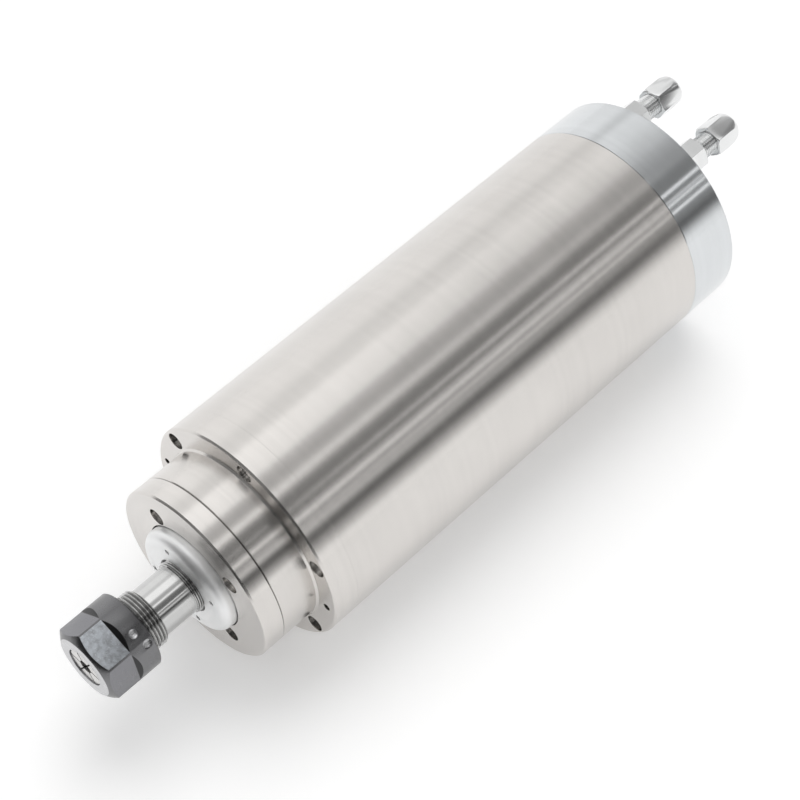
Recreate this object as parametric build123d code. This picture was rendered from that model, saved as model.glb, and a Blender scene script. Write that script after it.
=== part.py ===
"""Water-cooled motor spindle with a collet nose.

Millimetres. The spindle axis is the Y axis and lies level: the tool end points to -Y, the rear
cover to +Y, and Z is up. Places along Y are counted from the front face of the flange, and every
piece is moved as it is written, so that the origin is in the middle of the length that a clamp
holds. An angle round the axis is counted from +X towards +Z.
"""

import os
from math import cos, radians, sin, tan

from build123d import (
    Axis, Box, Compound, Cone, Cylinder, GeomType, Plane, Polyline, Pos, RectangleRounded, RegularPolygon,
    Rot, ThreePointArc, export_step, extrude, fillet, loft, make_face, revolve,
)

# Lengths of the flange, its spigot and the cooling sleeve
flange_back = 12.0
front_spigot_length = 8.0
sleeve_front = flange_back + front_spigot_length
sleeve_length = 176.0
sleeve_back = sleeve_front + sleeve_length

# Motor
stator_radius = 35.5
stator_bore = 18.6
air_gap = 0.5
rotor_radius = stator_bore - air_gap
core_front_inset = 42.0
core_front = sleeve_front + core_front_inset
core_back_inset = 48.0
core_back = sleeve_back - core_back_inset
slot_count = 18
yoke = 6.5
tooth_tip = 2.4
slot_floor = stator_radius - yoke
slot_roof = stator_bore + tooth_tip
slot_width = 4.4
slot_mouth = 1.8
winding_gap = 0.15
winding_length = 11.5
winding_inset = 3.0
winding_outside = stator_radius - winding_inset
winding_bevel = 3.0
end_ring_length = 7.0
end_ring_step = 0.5
end_ring_radius = rotor_radius - end_ring_step

# Cooling sleeve and jacket, each round the one before
fit_gap = 0.02
sleeve_wall = 6.5
sleeve_bore = stator_radius
jacket_bore = sleeve_bore + sleeve_wall
jacket_wall = 8.0
body_radius = jacket_bore + jacket_wall
sleeve_end_wall = 10.0
channel_depth = 3.6
channel_floor = jacket_bore - channel_depth
channel_front = sleeve_front + sleeve_end_wall
channel_back = sleeve_back - sleeve_end_wall
rib_width = 3.0
rib_count = 12
rib_start = 90.0
turn_gap = 14.0
o_ring_inset = 5.0
o_ring_places = (sleeve_front + o_ring_inset, sleeve_back - o_ring_inset)
o_ring_width = 2.4
o_ring_side_gap = 0.1
o_ring_depth = 1.2
o_ring_floor = jacket_bore - o_ring_depth
o_ring_corner = 0.35
cut_past = 1.0

# Body and nose
flange_width = 10.0
nose_radius = body_radius - flange_width
register_length = 17.5
cover_seam = -register_length
cover_length = 9.5
nose_front = cover_seam - cover_length
rear_flange_length = 10.0
rear_flange_back = sleeve_back + rear_flange_length
rear_spigot_length = 6.7
rear_seam = rear_flange_back + rear_spigot_length
rear_cover_length = 24.8
body_end = rear_seam + rear_cover_length
clamp_middle = 112.0
edge_chamfer = 0.8
seam_chamfer = 0.25
nose_seam_chamfer = 0.4
nose_foot = 0.8

# Screws
m4_thread = 2.0
m4_head = 3.5
m4_head_height = 4.0
m4_socket = 3.0
m4_clearance = 2.2
m4_counterbore = 3.8
m4_counterbore_depth = 6.0
m3_thread = 1.5
m3_head = 2.75
m3_head_height = 3.0
m3_socket = 2.5
m3_clearance = 1.7
m3_counterbore = 3.0
m3_pocket_depth = 3.2
socket_share = 0.6
screw_end_gap = 0.5
flange_screw_inset = 3.0
flange_screw_circle = jacket_bore + flange_screw_inset
flange_screw_angle = 26.3
flange_screw_count = 6
flange_screw_reach = 12.0
jacking_angles = (176.3, -3.7)
jacking_radius = 1.65
rear_screw_inset = 4.0
rear_screw_circle = jacket_bore - rear_screw_inset
rear_screw_angle = 30.0
rear_screw_count = 6
sleeve_screw_inset = 3.7
sleeve_screw_circle = jacket_bore - sleeve_screw_inset
sleeve_screw_angles = (0.0, 180.0, 240.0, 300.0)
sleeve_screw_reach = 7.0

# Front bearings, 25 x 47 x 12
front_bore = 12.5
front_pitch_step = 5.5
front_pitch = front_bore + front_pitch_step
front_outside = front_pitch + front_pitch_step
front_width = 12.0
front_ball = 3.15
front_ball_count = 11
spacer_length = 6.0
front_stop_inset = 4.0
front_stop = sleeve_front - front_stop_inset
front_starts = (front_stop - 2 * front_width - spacer_length, front_stop - front_width)
stop_overlap = 3.0
front_stop_bore = front_outside - stop_overlap
front_hub_gap = 1.5
front_hub_radius = sleeve_bore - front_hub_gap
front_hub_length = 10.0
front_hub_back = sleeve_front + front_hub_length
cover_lip = 3.9
cover_spigot_bore = front_outside - cover_lip
cover_bore_step = 1.0

# Rear bearing, 17 x 35 x 10
rear_bore = 8.5
rear_pitch_step = 4.5
rear_pitch = rear_bore + rear_pitch_step
rear_outside = rear_pitch + rear_pitch_step
rear_width = 10.0
rear_ball = 2.35
rear_ball_count = 9
rear_bearing_inset = 9.0
rear_start = sleeve_back - rear_bearing_inset
rear_hub_wall = 9.5
rear_hub_radius = rear_outside + rear_hub_wall
spring_room = 3.0
rear_wall_back = rear_start - spring_room
rear_hub_wall_length = 6.0
rear_hub_front = rear_wall_back - rear_hub_wall_length
rear_lip_length = 6.0
rear_lip_front = sleeve_back - rear_lip_length
rear_body_radius = 11.2
rear_shaft_gap = 1.0
rear_shaft_hole = rear_body_radius + rear_shaft_gap
rear_cavity_inset = 8.0
rear_cavity = rear_screw_circle - rear_cavity_inset
rear_wall = 8.0
spring_side_gap = 0.2
spring_outside = rear_outside - spring_side_gap
spring_width = 2.4
spring_inside = spring_outside - spring_width
spring_thickness = 0.6
lock_nut_wall = 4.0
lock_nut_radius = rear_bore + lock_nut_wall
lock_nut_length = 6.0
lock_nut_notch = 1.5
lock_nut_slot = 3.0

# Rings, balls and cages of every bearing
race_gap = 0.05
land_step = 1.0
ring_chamfer = 0.5
groove_floor_share = 0.5
groove_mouth_gap = 0.05
cage_half = 0.65
cage_inset = 1.3
pocket_gap = 0.15
ball_latitudes = (-68, -34, 0, 34, 68)
ball_sides = 10

# Shaft
collar_step = 2.5
collar_radius = front_bore + collar_step
seat_step = 1.0
rotor_seat = front_bore + seat_step
rotor_stop = core_front - end_ring_length
rotor_seat_tail = 10.0
rear_step = core_back + rotor_seat_tail
shaft_tail = 2.0
shaft_back = rear_start + rear_width + lock_nut_length + shaft_tail
neck_depth = 1.7
neck_radius = front_bore - neck_depth
cap_proud = 6.0
cap_front = nose_front - cap_proud
front_ring_length = 5.0
neck_back = cap_front - front_ring_length
neck_length = 13.0
neck_front = neck_back - neck_length
nose_thread_length = 24.0
shaft_front = neck_front - nose_thread_length
thread_chamfer = 0.7
drawn_bore = 6.6
drawn_bore_reach = 53.0
drawn_bore_end = shaft_front + drawn_bore_reach
drawn_bore_cone = 4.0

# Collet, 21 mm in its taper
taper_wall = 2.0
taper_radius = front_bore - taper_wall
taper_start_gap = 1.0
taper_front = shaft_front + taper_start_gap
taper_angle = 8.0
taper_gap = 0.05
cone_angle = 30.0
collet_proud = 7.0
collet_front = shaft_front - collet_proud
collet_length = 31.5
collet_back = collet_front + collet_length
collet_end_gap = 1.0
lip_step = 2.2
collet_lip = taper_radius - lip_step
groove_depth = 0.9
collet_groove = collet_lip - groove_depth
collet_bore = 3.0
relief_step = 1.2
collet_relief = collet_bore + relief_step
grip_length = 21.3
collet_grip_end = collet_front + grip_length
lip_length = 1.8
groove_length = 1.5
groove_front = collet_front + lip_length
groove_back = groove_front + groove_length
slit_width = 0.7
slit_length = 24.0
slit_core = 1.0
slit_pairs = 6

# Collet nut
thread_gap = 0.05
seat_gap = 0.06
nut_wall = 4.5
nut_radius = front_bore + nut_wall
face_recess = 0.5
nut_front = collet_front - face_recess
nut_length = 23.5
nut_back = nut_front + nut_length
nut_end_gap = 0.6
nut_floor = shaft_front - nut_end_gap
nut_back_chamfer = 0.5
hex_step = 2.0
hex_flats = 2 * (nut_radius - hex_step)
hex_length = 12.9
hex_back = nut_front + hex_length
hex_corner = 40.0
nut_face_step = 3.6
nut_face_radius = nut_radius - nut_face_step
nut_face_chamfer = 2.5
mouth_gap = 0.3
nut_mouth = collet_lip + mouth_gap
nut_ring = collet_groove + mouth_gap
ring_gap = 0.2
balance_hole_radius = 1.9
balance_hole_depth = 1.2
drill_point = 1.0
balance_holes = ((57.0, 18.1), (40.0, 19.1))

# Dust cap and front cover screws
cap_overhang = 0.4
cap_radius = front_outside + cap_overhang
cap_gap = 0.55
cap_length = 11.5
cap_back = cap_front + cap_length
hub_wall = 3.5
cap_hub = front_bore + hub_wall
cap_round = 4.0
grub_inset = 5.9
grub_circle = cap_radius - grub_inset
grub_angle = 22.0
grub_count = 4
grub_radius = 1.25
grub_length = 4.0
grub_recess = 0.6
grub_hole_depth = 5.5
grub_socket = 1.3
cover_screw_wall = 0.25
cover_screw_circle = cap_radius + cap_gap + cover_screw_wall + m4_counterbore
cover_screw_angle = 41.0
cover_screw_count = 4
cover_screw_reach = 9.0

# Water fittings
fitting_inset = 4.0
fitting_circle = jacket_bore - fitting_inset
fitting_angles = (114.5, 66.0)
fitting_flats = 13.0
fitting_point = fitting_flats / 2 / cos(radians(30))
fitting_corners = (54.0, 57.0)
washer_thickness = 1.0
washer_edge = 0.1
washer_radius = fitting_flats / 2 + washer_edge
fitting_thread = 4.8
fitting_thread_reach = 9.0
fitting_hex_length = 9.8
fitting_seat = body_end + washer_thickness
fitting_hex_end = fitting_seat + fitting_hex_length
fitting_neck = 5.0
fitting_neck_length = 13.2
fitting_neck_end = fitting_hex_end + fitting_neck_length
hose_stub = 2.8
hose_stub_length = 5.5
hose_stub_end = fitting_neck_end + hose_stub_length
water_bore = 2.0

# Hose nuts and ferrules
hose_nut_corners = (2.0, 43.0)
thread_overlap = 5.1
hose_nut_start = fitting_neck_end - thread_overlap
hose_nut_chamfer = 0.5
hose_nut_bore = fitting_neck + thread_gap
hose_nut_hex_length = 7.0
hose_nut_hex_end = hose_nut_start + hose_nut_hex_length
dome_length = 7.0
hose_nut_end = hose_nut_hex_end + dome_length
hose_nut_dome = 5.0
dome_inset = 0.555553
dome_rise = 4.0
hose_hole = 4.2
ferrule_radius = 4.9
ferrule_bore = 3.1
ferrule_gap = 0.4
ferrule_start = fitting_neck_end + ferrule_gap
ferrule_collar = 2.3
ferrule_shoulder = ferrule_start + ferrule_collar
ferrule_cone = 1.2
ferrule_end = ferrule_shoulder + ferrule_cone
ferrule_seat_gap = 0.12

# Connector in the rear cover
connector_height = -16.0
connector_flange = 27.0
connector_flange_thickness = 2.5
connector_corner = 3.0
connector_radius = 9.0
connector_length = 14.5
connector_end = body_end + connector_length
connector_tail = 6.5
connector_bore = 7.6
connector_panel_gap = 0.3
connector_panel_hole = connector_radius + connector_panel_gap
connector_screw_inset = 3.5
connector_screw_offset = connector_flange / 2 - connector_screw_inset
connector_screw_reach = 6.0
connector_screw_head = 1.8
insulator_length = 9.5
insulator_end = body_end + insulator_length
key_width = 1.6
key_depth = 8.0
pin_circle = 4.7
pin_count = 4
pin_radius = 1.0
pin_tail = 2.5
pin_reach = 3.5
pin_end = insulator_end + pin_reach


def spread(first, count):
    """Evenly spaced angles from a first one."""
    return [first + 360 / count * step for step in range(count)]


flange_angles = spread(flange_screw_angle, flange_screw_count)
cover_angles = spread(cover_screw_angle, cover_screw_count)
rear_angles = spread(rear_screw_angle, rear_screw_count)
slot_angles = spread(0, slot_count)
grub_angles = spread(grub_angle, grub_count)
pin_angles = spread(45, pin_count)


def at_angle(angle, radius=0.0, along=0.0):
    """Place something made on the axis at an angle and radius round it, turned to suit."""
    return Rot(0, -angle, 0) * Pos(radius, along, 0)


def turned(*profile):
    """Turn an outline of (radius, place along Y) points about the spindle axis."""
    return revolve(make_face(Polyline(*profile, close=True)), Axis.Y, 360)


def tube(outside, inside, start, end):
    """Plain ring between two places along Y."""
    return turned((inside, start), (outside, start), (outside, end), (inside, end))


def rod(radius, start, end):
    """Solid round bar along Y."""
    return Pos(0, (start + end) / 2, 0) * Rot(90, 0, 0) * Cylinder(radius, end - start)


def hex_bar(flats, start, end, corner=0.0):
    """Hexagonal bar along Y with one corner at the given angle."""
    outline = Plane.XZ * Rot(0, 0, corner) * RegularPolygon(flats / 2, 6, major_radius=False)
    return Pos(0, end, 0) * extrude(outline, amount=end - start)


def polar(shape, angles, radius=0.0, along=0.0):
    """Copies of one shape round the spindle axis."""
    return [at_angle(angle, radius, along) * shape for angle in angles]


def cap_screw(size, head_face, tip):
    """Socket cap screw along Y with its open socket at head_face and its thread towards tip."""
    thread, head, height, socket = size
    way = 1 if tip > head_face else -1
    neck = head_face + way * height
    floor = head_face + way * height * socket_share
    screw = rod(head, min(head_face, neck), max(head_face, neck))
    screw += rod(thread, min(neck, tip), max(neck, tip))
    return screw - hex_bar(socket, min(head_face, floor), max(head_face, floor))


def few_faced_ball(radius):
    """Bearing ball of flat faces, light enough to repeat: ten-sided slices between its latitudes."""
    rings = [(radius * cos(radians(a)), radius * sin(radians(a))) for a in ball_latitudes]
    slices = []
    for (low_radius, low), (high_radius, high) in zip(rings, rings[1:]):
        lower = Pos(0, 0, low) * RegularPolygon(low_radius, ball_sides)
        upper = Pos(0, 0, high) * RegularPolygon(high_radius, ball_sides)
        slices.append(loft([lower, upper], ruled=True))
    return slices[0] + slices[1:]


def race(pitch, ball, bore, outside, start, width):
    """Inner and outer ring of one ball bearing, each with a groove for its balls."""
    middle, end, chamfer = start + width / 2, start + width, ring_chamfer
    reach = ball + race_gap
    floor, mouth = reach * groove_floor_share, reach + groove_mouth_gap
    rings = []
    for side, back in ((-1, bore), (1, outside)):
        land, root = pitch + side * land_step, pitch + side * reach
        rings.append(turned(
            (back, start), (land + side * chamfer, start), (land, start + chamfer), (land, middle - mouth),
            (root, middle - floor), (root, middle + floor), (land, middle + mouth),
            (land, end - chamfer), (land + side * chamfer, end), (back, end),
        ))
    return rings


def ball_ring(pitch, ball, count, start, width):
    """The balls of one bearing and the cage that spaces them."""
    middle = start + width / 2
    angles = spread(0, count)
    balls = polar(few_faced_ball(ball), angles, pitch, middle)
    cage = tube(pitch + cage_half, pitch - cage_half, start + cage_inset, start + width - cage_inset)
    window = Box(4 * cage_half, 2 * (ball + pocket_gap), 2 * (ball + pocket_gap))
    return Compound(balls), cage - polar(window, angles, pitch, middle)


def outer_jacket():
    body = turned(
        (jacket_bore, flange_back), (body_radius, flange_back), (body_radius, rear_seam - seam_chamfer),
        (body_radius - seam_chamfer, rear_seam), (jacket_bore, rear_seam),
    )
    thread = rod(m4_thread, flange_back, flange_back + flange_screw_reach)
    return body - polar(thread, flange_angles, flange_screw_circle)


def front_bearing_housing():
    spigot = jacket_bore - fit_gap
    body = turned(
        (front_outside, cover_seam), (nose_radius - nose_seam_chamfer, cover_seam),
        (nose_radius, cover_seam + nose_seam_chamfer), (nose_radius, -nose_foot),
        (nose_radius + nose_foot, 0),
        (body_radius - edge_chamfer, 0), (body_radius, edge_chamfer), (body_radius, flange_back),
        (spigot, flange_back), (spigot, sleeve_front), (front_hub_radius, sleeve_front),
        (front_hub_radius, front_hub_back), (front_stop_bore, front_hub_back),
        (front_stop_bore, front_stop), (front_outside, front_stop),
    )
    body -= polar(rod(m4_clearance, 0, flange_back), flange_angles, flange_screw_circle)
    body -= polar(rod(m4_counterbore, 0, m4_counterbore_depth), flange_angles, flange_screw_circle)
    body -= polar(rod(jacking_radius, 0, flange_back), jacking_angles, flange_screw_circle)
    thread = rod(m4_thread, cover_seam, cover_seam + cover_screw_reach)
    return body - polar(thread, cover_angles, cover_screw_circle)


def front_cover():
    recess = cap_radius + cap_gap
    spigot = front_outside - fit_gap
    collar = cap_hub + cap_gap
    body = turned(
        (recess, nose_front), (nose_radius - edge_chamfer, nose_front),
        (nose_radius, nose_front + edge_chamfer), (nose_radius, cover_seam - nose_seam_chamfer),
        (nose_radius - nose_seam_chamfer, cover_seam), (spigot, cover_seam), (spigot, front_starts[0]),
        (cover_spigot_bore, front_starts[0]), (cover_spigot_bore, cover_seam + cover_bore_step),
        (collar, cover_seam + cover_bore_step),
        (collar, cap_back + cap_gap), (recess, cap_back + cap_gap),
    )
    body -= polar(rod(m4_clearance, nose_front, cover_seam), cover_angles, cover_screw_circle)
    pocket = rod(m4_counterbore, nose_front, nose_front + m4_counterbore_depth)
    return body - polar(pocket, cover_angles, cover_screw_circle)


def cooling_sleeve():
    body = tube(jacket_bore, sleeve_bore, sleeve_front, sleeve_back)
    past = jacket_bore + cut_past
    water = tube(past, channel_floor, channel_front, channel_back)
    for step, angle in enumerate(spread(rib_start, rib_count)):
        low = channel_front + (turn_gap if step % 2 else 0)
        high = channel_back - (turn_gap if step and step % 2 == 0 else 0)
        rib = Box(2 * past, high - low, rib_width)
        water -= at_angle(angle, past, (low + high) / 2) * rib
    body -= water
    for middle in o_ring_places:
        body -= tube(past, o_ring_floor, middle - o_ring_width / 2, middle + o_ring_width / 2)
    port = rod(water_bore, channel_back, sleeve_back)
    body -= polar(port, fitting_angles, fitting_circle)
    thread = rod(m3_thread, sleeve_back - sleeve_screw_reach, sleeve_back)
    return body - polar(thread, sleeve_screw_angles, sleeve_screw_circle)


def sleeve_o_rings():
    rings = []
    for middle in o_ring_places:
        half, edge = o_ring_width / 2 - o_ring_side_gap, o_ring_corner
        rings.append(turned(
            (o_ring_floor, middle - half + edge), (o_ring_floor + edge, middle - half),
            (jacket_bore - edge, middle - half), (jacket_bore, middle - half + edge),
            (jacket_bore, middle + half - edge), (jacket_bore - edge, middle + half),
            (o_ring_floor + edge, middle + half), (o_ring_floor, middle + half - edge),
        ))
    return Compound(rings)


def stator_core():
    body = tube(sleeve_bore, stator_bore, core_front, core_back)
    middle, length = (core_front + core_back) / 2, core_back - core_front
    slot = Pos((slot_roof + slot_floor) / 2, middle, 0) * Box(slot_floor - slot_roof, length, slot_width)
    mouth = Pos((stator_bore + slot_roof) / 2, middle, 0) * Box(tooth_tip + cut_past, length, slot_mouth)
    return body - polar(slot + mouth, slot_angles)


def stator_winding():
    inside, outside = slot_roof + winding_gap, winding_outside
    bevel = min(winding_bevel, (outside - inside) / 3)
    middle, length = (core_front + core_back) / 2, core_back - core_front
    rings = []
    for face, way in ((core_front - winding_gap, -1), (core_back + winding_gap, 1)):
        end = face + way * winding_length
        rings.append(turned(
            (inside, face), (outside, face), (outside, end - way * bevel), (outside - bevel, end),
            (inside + bevel, end), (inside, end - way * bevel),
        ))
    depth = slot_floor - slot_roof - 2 * winding_gap
    bar = Box(depth, length + 2 * cut_past, slot_width - 2 * winding_gap)
    bar = Pos((slot_roof + slot_floor) / 2, middle, 0) * bar
    return rings[0] + rings[1] + polar(bar, slot_angles)


def rear_bearing_housing():
    spigot = jacket_bore - fit_gap
    body = turned(
        (rear_shaft_hole, rear_hub_front), (rear_hub_radius, rear_hub_front),
        (rear_hub_radius, rear_lip_front), (sleeve_bore - fit_gap, rear_lip_front),
        (sleeve_bore - fit_gap, sleeve_back), (spigot, sleeve_back), (spigot, rear_flange_back),
        (rear_outside, rear_flange_back), (rear_outside, rear_wall_back), (rear_shaft_hole, rear_wall_back),
    )
    body -= polar(rod(water_bore, sleeve_back, rear_flange_back), fitting_angles, fitting_circle)
    body -= polar(rod(m4_thread, sleeve_back, rear_flange_back), rear_angles, rear_screw_circle)
    body -= polar(rod(m3_clearance, sleeve_back, rear_flange_back), sleeve_screw_angles, sleeve_screw_circle)
    pocket = rod(m3_counterbore, rear_flange_back - m3_pocket_depth, rear_flange_back)
    return body - polar(pocket, sleeve_screw_angles, sleeve_screw_circle)


def preload_disc_springs():
    meet = (rear_wall_back + rear_start) / 2
    discs = []
    for wall, way in ((rear_wall_back, 1), (rear_start, -1)):
        discs.append(turned(
            (spring_outside, wall), (spring_outside, wall + way * spring_thickness),
            (spring_inside, meet), (spring_inside, meet - way * spring_thickness),
        ))
    return Compound(discs)


def rear_cover():
    spigot = jacket_bore - fit_gap
    body = turned(
        (rear_cavity, rear_flange_back), (spigot, rear_flange_back), (spigot, rear_seam),
        (body_radius - seam_chamfer, rear_seam), (body_radius, rear_seam + seam_chamfer),
        (body_radius, body_end - edge_chamfer), (body_radius - edge_chamfer, body_end),
        (0, body_end), (0, body_end - rear_wall), (rear_cavity, body_end - rear_wall),
    )
    body -= polar(rod(m4_clearance, rear_flange_back, body_end), rear_angles, rear_screw_circle)
    pocket = rod(m4_counterbore, body_end - m4_counterbore_depth, body_end)
    body -= polar(pocket, rear_angles, rear_screw_circle)
    body -= polar(rod(water_bore, rear_flange_back, body_end), fitting_angles, fitting_circle)
    thread = rod(fitting_thread, body_end - fitting_thread_reach - cut_past, body_end)
    body -= polar(thread, fitting_angles, fitting_circle)
    panel_hole = Pos(0, 0, connector_height) * rod(connector_panel_hole, body_end - rear_wall, body_end)
    thread = rod(m3_thread, body_end - connector_screw_reach, body_end)
    return body - panel_hole - connector_corners(thread)


def connector_corners(shape):
    """Copies of one shape at the four screws of the connector flange."""
    places = [(x, z) for x in (-1, 1) for z in (-1, 1)]
    step = connector_screw_offset
    return [Pos(x * step, 0, connector_height + z * step) * shape for x, z in places]


def connector_shell():
    plate = Plane.XZ * RectangleRounded(connector_flange, connector_flange, connector_corner)
    face = body_end + connector_flange_thickness
    flange = Pos(0, face, 0) * extrude(plate, amount=connector_flange_thickness)
    barrel = rod(connector_radius, body_end - connector_tail, connector_end)
    body = Pos(0, 0, connector_height) * (flange + barrel)
    body -= Pos(0, 0, connector_height) * rod(connector_bore, body_end - connector_tail, connector_end)
    hole = rod(m3_clearance, body_end, face)
    return body - connector_corners(hole)


def connector_insulator():
    body = rod(connector_bore - fit_gap, body_end - connector_tail, insulator_end)
    key = Pos(0, insulator_end, connector_bore) * Box(key_width, key_depth, key_width)
    body -= key
    body -= polar(rod(pin_radius, body_end - connector_tail, insulator_end), pin_angles, pin_circle)
    return Pos(0, 0, connector_height) * body


def connector_pins():
    pin = rod(pin_radius, body_end - connector_tail - pin_tail, pin_end)
    return Pos(0, 0, connector_height) * Compound(polar(pin, pin_angles, pin_circle))


def connector_screws():
    face = body_end + connector_flange_thickness
    thin = (m3_thread, m3_head, connector_screw_head, m3_socket)
    screw = cap_screw(thin, face + connector_screw_head, body_end - connector_screw_reach)
    return Compound(connector_corners(screw))


def spindle_shaft():
    narrow = tan(radians(taper_angle))

    def socket_radius(place):
        return taper_radius - (place - taper_front) * narrow + taper_gap

    edge, blend = thread_chamfer, collet_back + collet_end_gap
    return turned(
        (socket_radius(shaft_front), shaft_front), (front_bore - edge, shaft_front),
        (front_bore, shaft_front + edge), (front_bore, neck_front - edge), (front_bore - edge, neck_front),
        (neck_radius, neck_front), (neck_radius, neck_back), (front_bore - edge, neck_back),
        (front_bore, neck_back + edge), (front_bore, front_stop), (collar_radius, front_stop),
        (collar_radius, rotor_stop), (rotor_seat, rotor_stop), (rotor_seat, rear_step),
        (rear_body_radius, rear_step), (rear_body_radius, rear_start), (rear_bore, rear_start),
        (rear_bore, shaft_back - edge), (rear_bore - edge, shaft_back), (0, shaft_back),
        (0, drawn_bore_end), (drawn_bore, drawn_bore_end - drawn_bore_cone), (drawn_bore, blend),
        (socket_radius(blend), blend),
    )


def rotor_end_rings():
    rings = []
    for start in (core_front - end_ring_length, core_back):
        rings.append(tube(end_ring_radius, rotor_seat, start, start + end_ring_length))
    return Compound(rings)


def rear_lock_nut():
    start = rear_start + rear_width
    body = tube(lock_nut_radius, rear_bore, start, start + lock_nut_length)
    notch = Box(2 * lock_nut_notch, lock_nut_length, lock_nut_slot)
    return body - polar(notch, spread(0, 4), lock_nut_radius, start + lock_nut_length / 2)


def dust_cap():
    body = turned(
        (front_bore, cap_front), (cap_radius, cap_front), (cap_radius, cap_back),
        (cap_hub, cap_back), (cap_hub, front_starts[0]), (front_bore, front_starts[0]),
    )
    rim = [e for e in body.edges().filter_by(GeomType.CIRCLE)
           if abs(e.radius - cap_radius) < 0.01 and abs(e.center().Y - cap_front) < 0.01]
    body = fillet(rim, cap_round)
    return body - polar(rod(grub_radius, cap_front, cap_front + grub_hole_depth), grub_angles, grub_circle)


def balance_screws():
    start = cap_front + grub_recess
    screw = rod(grub_radius, start, start + grub_length)
    screw -= hex_bar(grub_socket, start, start + grub_length / 2)
    return Compound(polar(screw, grub_angles, grub_circle))


def collet():
    narrow, steep = tan(radians(taper_angle)), tan(radians(cone_angle))
    cone_start = taper_radius - (taper_front - groove_back) * steep
    tail = taper_radius - (collet_back - taper_front) * narrow
    body = turned(
        (collet_bore, collet_front), (collet_lip, collet_front), (collet_lip, groove_front),
        (collet_groove, groove_front), (collet_groove, groove_back), (cone_start, groove_back),
        (taper_radius, taper_front), (tail, collet_back), (collet_relief, collet_back),
        (collet_relief, collet_grip_end), (collet_bore, collet_grip_end),
    )
    for pair in range(slit_pairs):
        slit = Box(taper_radius * 2, slit_length, slit_width)
        front, back = pair * 360 / slit_pairs, (pair + 0.5) * 360 / slit_pairs
        body -= at_angle(front, taper_radius + slit_core, collet_front + slit_length / 2) * slit
        body -= at_angle(back, taper_radius + slit_core, collet_back - slit_length / 2) * slit
    return body


def collet_nut():
    steep = tan(radians(cone_angle))
    cone_start = taper_radius - (taper_front - groove_back) * steep + seat_gap
    thread = front_bore + thread_gap
    cone_end = cone_start + (nut_floor - groove_back) * steep
    body = turned(
        (nut_mouth, nut_front), (nut_face_radius, nut_front), (nut_radius, nut_front + nut_face_chamfer),
        (nut_radius, nut_back - nut_back_chamfer), (nut_radius - nut_back_chamfer, nut_back),
        (thread + thread_chamfer, nut_back), (thread, nut_back - thread_chamfer), (thread, nut_floor),
        (cone_end, nut_floor), (cone_start, groove_back), (nut_ring, groove_back - ring_gap),
        (nut_ring, groove_front + ring_gap), (nut_mouth, groove_front),
    )
    start = nut_front - cut_past
    body -= tube(2 * nut_radius, nut_mouth, start, hex_back) - hex_bar(hex_flats, start, hex_back, hex_corner)
    drill = Rot(0, 90, 0) * Cylinder(balance_hole_radius, 2 * balance_hole_depth)
    depth = balance_hole_depth + drill_point / 2
    point = Pos(-depth, 0, 0) * Rot(0, -90, 0) * Cone(balance_hole_radius, 0, drill_point)
    for angle, distance in balance_holes:
        body -= at_angle(angle, nut_radius, nut_front + distance) * (drill + point)
    return body


def fitting_body(angle, corner):
    end, thread_start = fitting_hex_end, body_end - fitting_thread_reach
    body = rod(fitting_thread, thread_start, fitting_seat) + hex_bar(fitting_flats, fitting_seat, end, corner)
    body += rod(fitting_neck, end, fitting_neck_end) + rod(hose_stub, fitting_neck_end, hose_stub_end)
    return beside_axis(angle) * (body - rod(water_bore, thread_start, hose_stub_end))


def beside_axis(angle):
    """Place something made on the spindle axis onto the axis of a water fitting, without turning it."""
    return Pos(fitting_circle * cos(radians(angle)), 0, fitting_circle * sin(radians(angle)))


def ferrule(angle):
    body = turned(
        (ferrule_bore, ferrule_start), (ferrule_radius, ferrule_start), (ferrule_radius, ferrule_shoulder),
        (hose_hole, ferrule_end), (ferrule_bore, ferrule_end),
    )
    return beside_axis(angle) * body


def hose_nut(angle, corner):
    point, edge = fitting_point, hose_nut_chamfer
    outline = Polyline(
        (hose_hole, hose_nut_end), (hose_hole, ferrule_end + ferrule_seat_gap),
        (hose_nut_bore, ferrule_shoulder), (hose_nut_bore, hose_nut_start),
        (point - edge, hose_nut_start), (point, hose_nut_start + edge),
        (point, hose_nut_hex_end),
    )
    middle = (point - dome_inset, hose_nut_hex_end + dome_rise)
    dome = ThreePointArc((point, hose_nut_hex_end), middle, (hose_nut_dome, hose_nut_end))
    rim = Polyline((hose_nut_dome, hose_nut_end), (hose_hole, hose_nut_end))
    body = revolve(make_face([outline, dome, rim]), Axis.Y, 360)
    return beside_axis(angle) * (body & hex_bar(fitting_flats, hose_nut_start, hose_nut_end, corner))


def sealing_washers():
    washer = tube(washer_radius, fitting_thread, body_end, body_end + washer_thickness)
    return Compound([beside_axis(angle) * washer for angle in fitting_angles])


def grouped(screw, angles, circle):
    """Identical fasteners on one circle, each a separate solid."""
    return Compound(polar(screw, angles, circle))


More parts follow.
